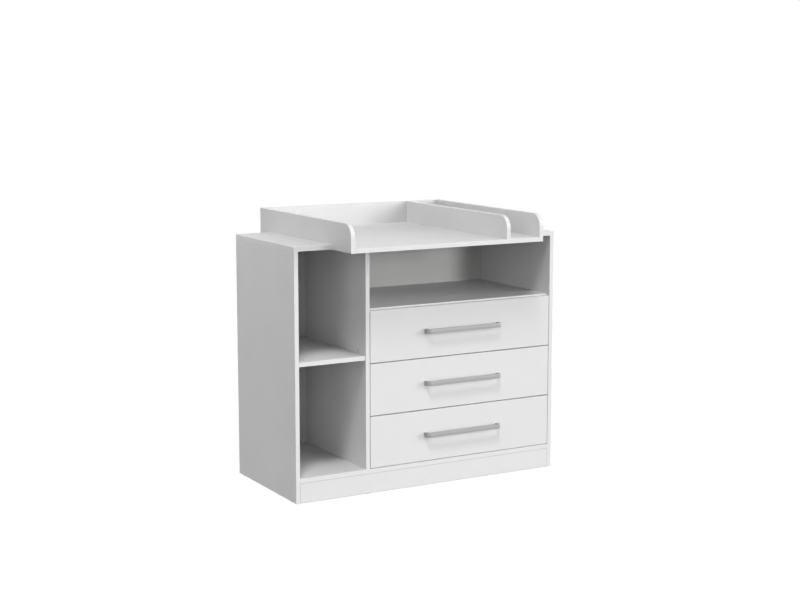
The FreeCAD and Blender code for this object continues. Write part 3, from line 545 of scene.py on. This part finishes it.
@dataclass(frozen=True)
class FineGrained:
    """A finish of two close shades in soft clouds under one fine texture."""

    name: str
    light_hex: str
    dark_hex: str
    roughness: float
    cloud_mm: float
    grain_mm: float
    grain_depth_mm: float
    swing: float = 0.04
    metallic: float = 0.0
    ior: float | None = None

    def material(self) -> bpy.types.Material:
        """Makes the finish from its clouds, its grain and its sheen."""
        material, tree = empty_material(self.name)
        place = add_node(tree, "TexCoord")
        clouds = add_node(tree, "TexNoise", None, {
            "Vector": place.outputs["Object"], "Scale": 1 / (self.cloud_mm * MM), "Detail": 2.0})
        colour = add_node(tree, "Mix", {"data_type": "RGBA"}, {
            0: clouds.outputs[0], 6: linear(self.light_hex), 7: linear(self.dark_hex)})
        grain = add_node(tree, "TexNoise", None, {
            "Vector": place.outputs["Object"], "Scale": 1 / (self.grain_mm * MM), "Detail": 1.0})
        roughness = add_node(tree, "MapRange", None, {
            "Value": grain.outputs[0], "From Min": NOISE_SPAN[0], "From Max": NOISE_SPAN[1],
            "To Min": self.roughness - self.swing, "To Max": self.roughness + self.swing})
        bump = add_node(tree, "Bump", None, {
            "Height": grain.outputs[0], "Distance": self.grain_depth_mm * MM})
        shader = {"Base Color": colour.outputs[2], "Metallic": self.metallic,
                  "Roughness": roughness.outputs[0], "Normal": bump.outputs[0]}
        if self.ior is not None:
            shader["IOR"] = self.ior
        surface(tree, shader)
        return material


# Zinc-plated and blue passivated: bright, slightly cold metal with a faint crystal spangle.
ZINC_STEEL = FineGrained("zinc_plated_steel", "#C9CDD0", "#B4BAC0", 0.34, 3.0, 0.8, 0.004,
                         swing=0.06, metallic=1.0)
# Sprayed and stoved powder on folded sheet: white, half gloss, with a slight orange peel.
COATED_STEEL = FineGrained("powder_coated_steel", "#E4E3E0", "#DFDEDA", 0.42, 60.0, 1.8, 0.02,
                           ior=1.5)
# Moulded natural nylon: milky, a little yellow, waxy sheen with flow marks.
NYLON = FineGrained("moulded_nylon", "#E6E3D8", "#DCD8CA", 0.44, 6.0, 0.5, 0.006, ior=1.53)
# Moulded polystyrene from a spark-eroded tool: flat white with a very fine matt grain.
CAP_PLASTIC = FineGrained("moulded_polystyrene", "#ECECEC", "#E7E7E7", 0.46, 20.0, 0.35, 0.008,
                          ior=1.59)
# Moulded polyethylene: translucent grey-white, dull and slightly greasy.
GLIDE_PLASTIC = FineGrained("moulded_polyethylene", "#C9C8C4", "#BDBCB8", 0.5, 8.0, 0.6, 0.01,
                            ior=1.51)


@dataclass(frozen=True)
class TurnedBeech:
    """Beech dowel, turned and left raw: warm straw colour with darker lines along the grain."""

    wood_hex: str = "#D0A874"
    grain_hex: str = "#AE8250"
    ring_mm: float = 1.2
    run_mm: float = 16.0
    wander: float = 0.4         # how much the lines of the grain waver
    relief_mm: float = 0.03
    roughness: float = 0.62
    ior: float = 1.5

    def material(self, along: Axis) -> bpy.types.Material:
        """Makes the finish for dowels that lie along one direction.

        Args:
            along: direction of the grain.

        Returns:
            The material.
        """
        material, tree = empty_material("turned_beech_" + along.name.lower())
        place = add_node(tree, "TexCoord")
        scale = [1 / (self.ring_mm * MM)] * 3
        scale[along.value] = 1 / (self.run_mm * MM)
        stretch = add_node(tree, "Mapping", None, {
            "Vector": place.outputs["Object"], "Scale": tuple(scale)})
        grain = add_node(tree, "TexNoise", None, {
            "Vector": stretch.outputs[0], "Scale": 1.0, "Detail": 4.0,
            "Distortion": self.wander})
        colour = add_node(tree, "Mix", {"data_type": "RGBA"}, {
            0: grain.outputs[0], 6: linear(self.wood_hex), 7: linear(self.grain_hex)})
        bump = add_node(tree, "Bump", None, {
            "Height": grain.outputs[0], "Distance": self.relief_mm * MM})
        surface(tree, {"Base Color": colour.outputs[2], "Roughness": self.roughness,
                       "Normal": bump.outputs[0], "IOR": self.ior})
        return material


# --- Sub-assemblies ----------------------------------------------------------------------------
def dress_boards(boards: dict[str, Axis], finish: MelamineBoard, banded: bool = True) -> None:
    """Gives each board its own melamine finish.

    Args:
        boards: direction of the thickness by node.
        finish: the finish.
        banded: the boards show the glue lines of an edge band, and their core in bores.
    """
    for node, thin in boards.items():
        box = tuple(np.array(corner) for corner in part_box(node)) if banded else None
        paint(node, finish.material(node, thin, box))
        log.info("%s: melamine, thickness along %s", node, thin.name)


@dataclass(frozen=True)
class Screw:
    """A cross-recess screw; its head is a cone sunk in sheet metal, or a low dome on the board."""

    head_r_mm: float
    head_mm: float
    shank_r_mm: float
    domed: bool = False
    steps: int = 40
    rings: tuple[float, ...] = (0, 0.1, 0.2, 0.3, 0.4, 0.48, 0.56, 0.64, 0.8, 0.94, 1.0)
    dome_share: float = 0.9     # of the head's height, the dome's fall from middle to rim
    point_radii: float = 2.0    # length of the point, in shank radii
    tip_share: float = 0.15     # of the shank's radius, the point's blunt tip
    reach_share: float = 0.6    # of the head's radius, the recess's arms
    arm_share: float = 0.12     # of the head's radius, half the width of an arm
    depth_share: float = 0.45   # of the head's height, the recess's depth
    depth_more_mm: float = 0.3  # what is added to that depth

    def grid(self, start: np.ndarray, way: np.ndarray, length_mm: float) -> np.ndarray:
        """One screw as a turned shape.

        The head's face is flat, or falls as the dome's share of the head's height times the
        fourth power of the radius over the head's radius. The shank ends in a short point.

        Args:
            start: middle of the head's outer face.
            way: unit vector into the board.
            length_mm: whole length.

        Returns:
            The grid of points.
        """
        radii = self.head_r_mm * np.array(self.rings)
        drop = self.dome_share * self.head_mm * (radii / self.head_r_mm) ** 4
        fall = drop if self.domed else 0 * radii
        shank, end = self.shank_r_mm, length_mm
        rest = [[end - self.point_radii * shank, shank], [end, self.tip_share * shank], [end, 0.0]]
        under = [[self.head_mm, self.head_r_mm]] if self.domed else []
        tail = np.array(under + [[self.head_mm, shank]] + rest)
        profile = np.concatenate([np.stack([fall, radii], -1), tail])
        cross = (self.reach_share * self.head_r_mm, self.arm_share * self.head_r_mm,
                 self.depth_share * self.head_mm + self.depth_more_mm)
        return turned(profile, start, way, self.steps, cross)


SHEET_SCREW = Screw(head_r_mm=3.3, head_mm=1.2, shank_r_mm=1.75)
HANDLE_SCREW = Screw(head_r_mm=4.0, head_mm=2.4, shank_r_mm=2.0, domed=True)
BOARD_SCREW = Screw(head_r_mm=3.8, head_mm=2.2, shank_r_mm=2.0)


def screw_grids(node: str, out_of: dict[Axis, float], middle_x: float) -> list[np.ndarray]:
    """Turned screws in place of every screw solid of a CAD node.

    Args:
        node: the CAD node.
        out_of: by the screw's direction, the sign of its head's side. Along X it is the sign on
            the left of middle_x, and the opposite one on the right.
        middle_x: middle of the drawers' width.

    Returns:
        One grid for each screw.
    """
    grids = []
    for low, high in solids_of(node):
        axis = Axis(int(np.argmax(high - low)))
        sign = out_of[axis]
        if axis is Axis.X and low[0] > middle_x:
            sign = -sign
        out = np.zeros(3)
        out[axis.value] = sign
        start = (low + high) / 2 + out * (high - low)[axis.value] / 2
        kind = {Axis.X: SHEET_SCREW, Axis.Y: HANDLE_SCREW, Axis.Z: BOARD_SCREW}[axis]
        grids.append(kind.grid(start, -out, (high - low)[axis.value] / MM))
    return grids


@dataclass
class Cabinet:
    """The carcass: boards, back leaves in their grooves, and the fittings that hold them."""

    middle_x: float
    boards: dict[str, Axis] = field(default_factory=lambda: {
        "left_side_panel": Axis.X, "right_side_panel": Axis.X, "partition_panel": Axis.X,
        "top_panel": Axis.Z, "bottom_panel": Axis.Z, "niche_shelf": Axis.Z,
        "adjustable_shelf": Axis.Z})
    plinths: dict[str, Axis] = field(default_factory=lambda: {
        "front_plinth": Axis.Y, "rear_plinth": Axis.Y})
    cap_profile_mm: tuple[tuple[float, float], ...] = (
        (0.0, 0.0), (0.01, 2.0), (0.05, 4.5), (0.14, 6.5), (0.30, 7.8), (0.52, 8.4), (0.8, 8.5),
        (0.8, 0.0))
    pin_bevel_mm: float = 0.5
    cap_steps: int = 48
    pin_steps: int = 32
    plinth_board_with_painted_joint_shadow: MelamineBoard = MelamineBoard(glue_hex="#A3A29F", glue_mm=1.0)  # glue line drawn wider and darker: glue line plus painted shadow in the open joint

    def dress(self, zinc: bpy.types.Material, hardboard: bpy.types.Material) -> None:
        """Gives the carcass its finishes and its fine fittings.

        Args:
            zinc: finish of the steel fittings.
            hardboard: finish of the back leaves.
        """
        dress_boards(self.boards, MelamineBoard())
        dress_boards(self.plinths, self.plinth_board_with_painted_joint_shadow)
        for node in ("back_panel_left", "back_panel_right"):
            paint(node, hardboard)
        for node in ("cam_locks", "cam_bolts", "back_panel_nails"):
            paint(node, zinc)
        paint("floor_glides", GLIDE_PLASTIC.material())
        paint("cabinet_dowels", TurnedBeech().material(Axis.X))
        self.cap_covers(CAP_PLASTIC.material())
        self.pins(zinc)
        screws = screw_grids("runner_screws", {Axis.X: 1.0}, self.middle_x)
        build("runner_screw_heads", screws, "cabinet", "runner_screws", zinc)

    def cap_covers(self, plastic: bpy.types.Material) -> None:
        """Six low domed covers, turned from one profile, on the faces they were pressed into."""
        grids = []
        for low, high in solids_of("cam_caps"):
            out = np.array([1.0 if low[0] < self.middle_x else -1.0, 0, 0])
            start = (low + high) / 2 + out * (high - low)[0] / 2
            grids.append(turned(np.array(self.cap_profile_mm), start, -out, self.cap_steps))
        build("cam_cap_covers", grids, "cabinet", "cam_caps", plastic)

    def pins(self, zinc: bpy.types.Material) -> None:
        """Four round shelf pins with bevelled ends."""
        grids, bevel = [], self.pin_bevel_mm
        for low, high in solids_of("shelf_pins"):
            length, radius = (high - low)[0] / MM, (high - low)[2] / MM / 2
            profile = np.array([[0, 0], [0, radius - bevel], [bevel, radius],
                                [length - bevel, radius], [length, radius - bevel], [length, 0]])
            grids.append(turned(profile, left_end(low, high), RIGHT, self.pin_steps))
        build("shelf_support_pins", grids, "cabinet", "shelf_pins", zinc)


@dataclass
class ChangingTray:
    """The tray that hooks over the cabinet's top. Its left and back walls are a darker white as
    painted shade, its right wall and divider a lighter white as painted light.
    """

    # a darker white: painted shade on the tray's left and back walls
    painted_shade_sheet: MelamineBoard = MelamineBoard(face_hex="#D7D7D7", shade_hex="#D4D4D4")
    # a lighter white: painted light on the tray's right wall and divider
    painted_light_sheet: MelamineBoard = MelamineBoard(face_hex="#E1E1E1", shade_hex="#DEDEDE")

    def dress(self, zinc: bpy.types.Material) -> None:
        """Gives the tray its finishes and its screws."""
        dress_boards({"tray_left_wall": Axis.X}, self.painted_shade_sheet, banded=False)
        dress_boards({"tray_back_wall": Axis.Y}, self.painted_shade_sheet)
        dress_boards({"tray_right_wall": Axis.X, "tray_divider": Axis.X}, self.painted_light_sheet,
                     banded=False)
        dress_boards({"tray_front_board": Axis.Z, "tray_rear_board": Axis.Z}, MelamineBoard())
        paint("tray_dowels", TurnedBeech().material(Axis.X))
        screws = screw_grids("tray_screws", {Axis.Z: -1.0}, 0.0)
        build("tray_screw_heads", screws, "cabinet", "tray_screws", zinc)


@dataclass
class BowHandle:
    """A flat bar bent back to the drawer front at both ends, thicker in its legs."""

    drawer: str
    bar_mm: float = 7.0
    leg_mm: float = 12.0
    bend_mm: float = 18.0
    inner_mm: float = 9.0
    edge_mm: float = 0.8
    leg_steps: int = 5
    bend_steps: int = 28
    bar_steps: int = 14
    corner_steps: int = 6
    smooth_deg: float = 40.0

    def lines(self) -> tuple[np.ndarray, np.ndarray]:
        """Matching points of the bow's outer and inner line, seen from above.

        The left half of each line runs straight off the drawer front, round a quarter circle and
        along the bar to the middle. The right half is its mirror image.

        Returns:
            The outer and the inner line, points by two.
        """
        low, high = (np.array(corner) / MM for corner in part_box(self.drawer + "_handle"))
        reach, half = (high - low)[1], (high - low)[0] / 2
        turn = np.linspace(np.pi, 1.5 * np.pi, self.bend_steps)
        outer, inner = (0, 0, self.bend_mm), (self.leg_mm, self.bar_mm, self.inner_mm)
        halves = []
        for inset, depth, radius in (outer, inner):
            middle = np.array([inset + radius - half, depth + radius - reach])
            bend = middle + radius * np.stack([np.cos(turn), np.sin(turn)], -1)
            leg = np.linspace([inset - half, 0.0], bend[0], self.leg_steps)[:-1]
            bar = np.linspace(bend[-1], [0.0, depth - reach], self.bar_steps)[1:]
            line = np.concatenate([leg, bend, bar])
            mirrored = line[-2::-1] * [-1, 1]
            halves.append(np.concatenate([line, mirrored]))
        return halves[0], halves[1]

    def section(self) -> tuple[np.ndarray, np.ndarray, np.ndarray]:
        """The bar's cross-section, a rectangle with rounded corners.

        Each point is an inset from the outer or the inner face and a height. On a corner the
        inset is e - e * |cos(a)| and the height is half - e + e * sin(a), e being the edge radius.

        Returns:
            True for points kept from the inner face, the insets and the heights, in mm.
        """
        low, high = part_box(self.drawer + "_handle")
        straight = (high - low)[2] / MM / 2 - self.edge_mm
        steps, quarters = self.corner_steps, np.array([1, 0.5, 0, -0.5, -1]) * np.pi
        angle = np.linspace(quarters[:-1], quarters[1:], steps, axis=1).reshape(-1)
        inner = np.repeat([False, True, True, False], steps)
        inset = self.edge_mm * (1 - abs(np.cos(angle)))
        upper = np.repeat([1, 1, -1, -1], steps)
        return inner, inset, upper * straight + self.edge_mm * np.sin(angle)

    def build(self, metal: bpy.types.Material) -> None:
        """Sweeps the section along the bow.

        Point (i, j) lies between the outer and the inner line at step i, at the inset of section
        point j from its own line, raised by the section's height.

        Args:
            metal: the handle's finish.
        """
        outer, inner = self.lines()
        keep_inner, inset, height = self.section()
        thickness = np.linalg.norm(inner - outer, axis=1)
        across = (inner - outer) / thickness[:, None]
        depth = np.where(keep_inner[None, :], thickness[:, None] - inset, inset[None, :])
        flat = outer[:, None, :] + across[:, None, :] * depth[..., None]
        points = np.concatenate([flat, np.broadcast_to(height[None, :, None],
                                                       depth.shape + (1,))], -1) * MM
        low, high = (np.array(corner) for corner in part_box(self.drawer + "_handle"))
        root = np.array([(low[0] + high[0]) / 2, high[1], (low[2] + high[2]) / 2])
        along = np.concatenate([[0], np.cumsum(np.linalg.norm(np.diff(outer, axis=0), axis=1))])
        ring = np.stack([np.where(keep_inner, self.bar_mm - inset, inset), height], -1)
        ring = np.concatenate([ring, ring[:1]])
        around = np.concatenate([[0], np.cumsum(np.linalg.norm(np.diff(ring, axis=0), axis=1))])
        build(self.drawer + "_bow_handle", [root + points], self.drawer, self.drawer + "_handle",
              metal, (along * MM, around * MM), self.smooth_deg)


@dataclass
class Drawer:
    """One drawer: its front, wrapped box, runners, rollers, screws and handle."""

    name: str
    middle_x: float
    roller_profile_mm: tuple[tuple[float, float], ...] = (
        (0.0, 2.55), (0.0, 4.6), (0.5, 5.0), (0.5, 8.0), (0.0, 8.5), (0.0, 9.3), (0.25, 9.8),
        (0.8, 10.0), (6.7, 10.0), (7.25, 9.8), (7.5, 9.3), (7.5, 8.5), (7.0, 8.0), (7.0, 5.0),
        (7.5, 4.6), (7.5, 2.55), (0.0, 2.55))
    roller_steps: int = 56
    box_board: MelamineBoard = MelamineBoard(band_hex="#DBDBDB", band_roughness=0.5)

    def dress(self, metal: bpy.types.Material, zinc: bpy.types.Material,
              coated: bpy.types.Material, nylon: bpy.types.Material,
              hardboard: bpy.types.Material) -> None:
        """Gives the drawer its finishes and its fine fittings.

        Args:
            metal: finish of the handle.
            zinc: finish of the screws.
            coated: finish of the runners.
            nylon: finish of the rollers.
            hardboard: finish of the bottom sheet.
        """
        dress_boards({self.name + "_front": Axis.Y}, MelamineBoard())
        box = {self.name + "_left_side": Axis.X, self.name + "_right_side": Axis.X,
               self.name + "_back": Axis.Y}
        dress_boards(box, self.box_board, banded=False)
        paint(self.name + "_bottom", hardboard)
        paint(self.name + "_runners", coated)
        paint(self.name + "_cabinet_runners", coated)
        BowHandle(self.name).build(metal)
        screws = screw_grids(self.name + "_screws", {Axis.X: -1.0, Axis.Y: 1.0}, self.middle_x)
        build(self.name + "_screw_heads", screws, self.name, self.name + "_screws",
              zinc)
        for place in ("_rear_rollers", "_front_rollers"):
            self.wheels(self.name + place, nylon)

    def wheels(self, node: str, nylon: bpy.types.Material) -> None:
        """A pair of rollers turned with hub, web and rounded tread, about their own axle."""
        profile = np.array(self.roller_profile_mm)
        grids = [turned(profile, left_end(low, high), RIGHT, self.roller_steps)
                 for low, high in solids_of(node)]
        build(node + "_wheels", grids, node, node, nylon)


# --- Studio ------------------------------------------------------------------------------------
@dataclass(frozen=True)
class SoftLamp:
    """A far lamp with a wide disc, given by where it stands and how wide it looks."""

    name: str
    azimuth_deg: float      # 0 is in front of the dresser, positive to its right
    elevation_deg: float
    width_deg: float
    share: float            # of the light that shows a matt face turned to it as its own colour
    bounces: int = 2        # its light is followed this far, so deep bays stay as dark as they are

    def hang(self) -> None:
        """Adds the lamp, turned towards the dresser."""
        light = bpy.data.lights.new(self.name, "SUN")
        light.energy, light.angle = math.pi * self.share, math.radians(self.width_deg)
        light.cycles.max_bounces = self.bounces
        lamp = bpy.data.objects.new(self.name, light)
        lamp.rotation_euler = (math.radians(90 - self.elevation_deg), 0.0,
                               math.radians(self.azimuth_deg))
        bpy.context.scene.collection.objects.link(lamp)
        log.info("%s: azimuth %.0f, elevation %.0f", self.name, self.azimuth_deg,
                 self.elevation_deg)


@dataclass(frozen=True)
class Camera:
    """The photograph's viewpoint: long lens, from the front left and a little above.

    It is tilted down, where the photograph's camera is level and shifted.
    """

    place_m: tuple[float, float, float] = (-2.8044, -4.9594, 1.5031)
    turn_deg: float = 29.509
    tilt_deg: float = 8.501
    lens_mm: float = 70.03
    sensor_mm: float = 36.0
    far_m: float = 60.0

    def set_up(self) -> None:
        """Adds the camera and makes it the scene's."""
        camera = bpy.data.objects.new("camera", bpy.data.cameras.new("camera"))
        camera.data.lens, camera.data.sensor_width = self.lens_mm, self.sensor_mm
        camera.data.clip_end = self.far_m
        camera.location = self.place_m
        camera.rotation_euler = (math.radians(90 - self.tilt_deg), 0.0,
                                 -math.radians(self.turn_deg))
        bpy.context.scene.collection.objects.link(camera)
        bpy.context.scene.camera = camera


@dataclass
class Studio:
    """White room: even surrounding light, soft lamps, and a floor that keeps faint shadows."""

    surround: float = 0.03          # strength of the room's light, which the camera sees as white
    room_bounces: int = 2
    floor_half_m: float = 14.0
    floor_hex: str = "#8C8C8C"
    shadow_share: float = 0.05      # how much of the seen floor is lit, the rest is plain white
    open_floor: float = 0.8         # taken off the plain white for the light on the lit share
    lamps: tuple[SoftLamp, ...] = (     # name, azimuth, elevation, width and share of each
        SoftLamp("key_softbox", 12.5, 7.0, 12.5, 0.285),
        SoftLamp("left_low_fill", -60.0, 10.0, 26.0, 0.115),
        SoftLamp("front_left_fill", -30.0, 14.0, 24.0, 0.085),
        SoftLamp("left_side_softbox", -90.0, 30.0, 30.0, 0.105, bounces=0),
        SoftLamp("left_upper_softbox", -34.0, 62.0, 14.0, 0.46),
        SoftLamp("top_softbox", -60.0, 78.0, 34.0, 0.055, bounces=0),
        SoftLamp("right_low_fill", 60.0, 10.0, 28.0, 0.52),
        SoftLamp("right_front_fill", 30.0, 30.0, 26.0, 0.12),
        SoftLamp("right_side_fill", 95.0, 6.0, 30.0, 0.30),
        SoftLamp("rear_fill", 180.0, 6.0, 30.0, 0.80))

    def seen(self, tree: bpy.types.NodeTree) -> bpy.types.NodeSocket:
        """One for the camera's rays and for those mirrored or sent through to it."""
        path = add_node(tree, "LightPath")
        mirrored = add_node(tree, "Math", {"operation": "MAXIMUM"}, {
            0: path.outputs["Is Glossy Ray"], 1: path.outputs["Is Transmission Ray"]})
        return add_node(tree, "Math", {"operation": "MAXIMUM"}, {
            0: mirrored.outputs[0], 1: path.outputs["Is Camera Ray"]}).outputs[0]

    def room(self) -> None:
        """Lights the scene evenly and shows plain white behind it."""
        world = bpy.data.worlds.new("white_studio")
        world.use_nodes = True
        tree = world.node_tree
        tree.nodes.clear()
        light = add_node(tree, "Background", None, {"Strength": self.surround})
        white = add_node(tree, "Background", None, {"Strength": 1.0})
        for background in (light, white):
            background.inputs["Color"].default_value = WHITE
        both = add_node(tree, "MixShader", None, {
            0: self.seen(tree), 1: light.outputs[0], 2: white.outputs[0]})
        add_node(tree, "OutputWorld", None, {"Surface": both.outputs[0]})
        world.cycles.max_bounces = self.room_bounces
        bpy.context.scene.world = world

    def floor(self) -> None:
        """A pale matt floor; what is seen of it is mostly plain white, plus its lit share."""
        material, tree = empty_material("matt_studio_paper")
        paper = add_node(tree, "BsdfDiffuse", None, {"Color": linear(self.floor_hex)})
        faint = add_node(tree, "BsdfDiffuse", None, {"Color": (self.shadow_share,) * 3 + (1.0,)})
        white = add_node(tree, "Emission", None, {
            "Strength": 1.0 - self.open_floor * self.shadow_share})
        shown = add_node(tree, "AddShader", None, {0: faint.outputs[0], 1: white.outputs[0]})
        both = add_node(tree, "MixShader", None, {
            0: self.seen(tree), 1: paper.outputs[0], 2: shown.outputs[0]})
        add_node(tree, "OutputMaterial", None, {"Surface": both.outputs[0]})
        half = self.floor_half_m
        mesh = bpy.data.meshes.new("studio_floor")
        mesh.from_pydata([(-half, -half, 0), (half, -half, 0), (half, half, 0), (-half, half, 0)],
                         [], [(0, 1, 2, 3)])
        mesh.materials.append(material)
        floor = bpy.data.objects.new("studio_floor", mesh)
        bpy.context.scene.collection.objects.link(floor)

    def set_up(self) -> None:
        """Builds the room, the floor, the lamps and the camera."""
        self.room()
        self.floor()
        for lamp in self.lamps:
            lamp.hang()
        Camera().set_up()
        bpy.context.scene.view_settings.view_transform = "Standard"


def main() -> None:
    """Dresses every sub-assembly, lights the studio and sets the camera."""
    logging.basicConfig(level=logging.INFO, format="%(message)s")
    low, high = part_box("middle_drawer_front")
    middle_x = (low[0] + high[0]) / 2
    zinc, coated, nylon = ZINC_STEEL.material(), COATED_STEEL.material(), NYLON.material()
    hardboard, metal = WhiteHardboard(), SatinSilver().material()
    Cabinet(middle_x).dress(zinc, hardboard.material(Axis.Y))
    ChangingTray().dress(zinc)
    bottoms = hardboard.material(Axis.Z)
    for name in DRAWERS:
        Drawer(name, middle_x).dress(metal, zinc, coated, nylon, bottoms)
    Studio().set_up()


if __name__ == "__main__":
    main()
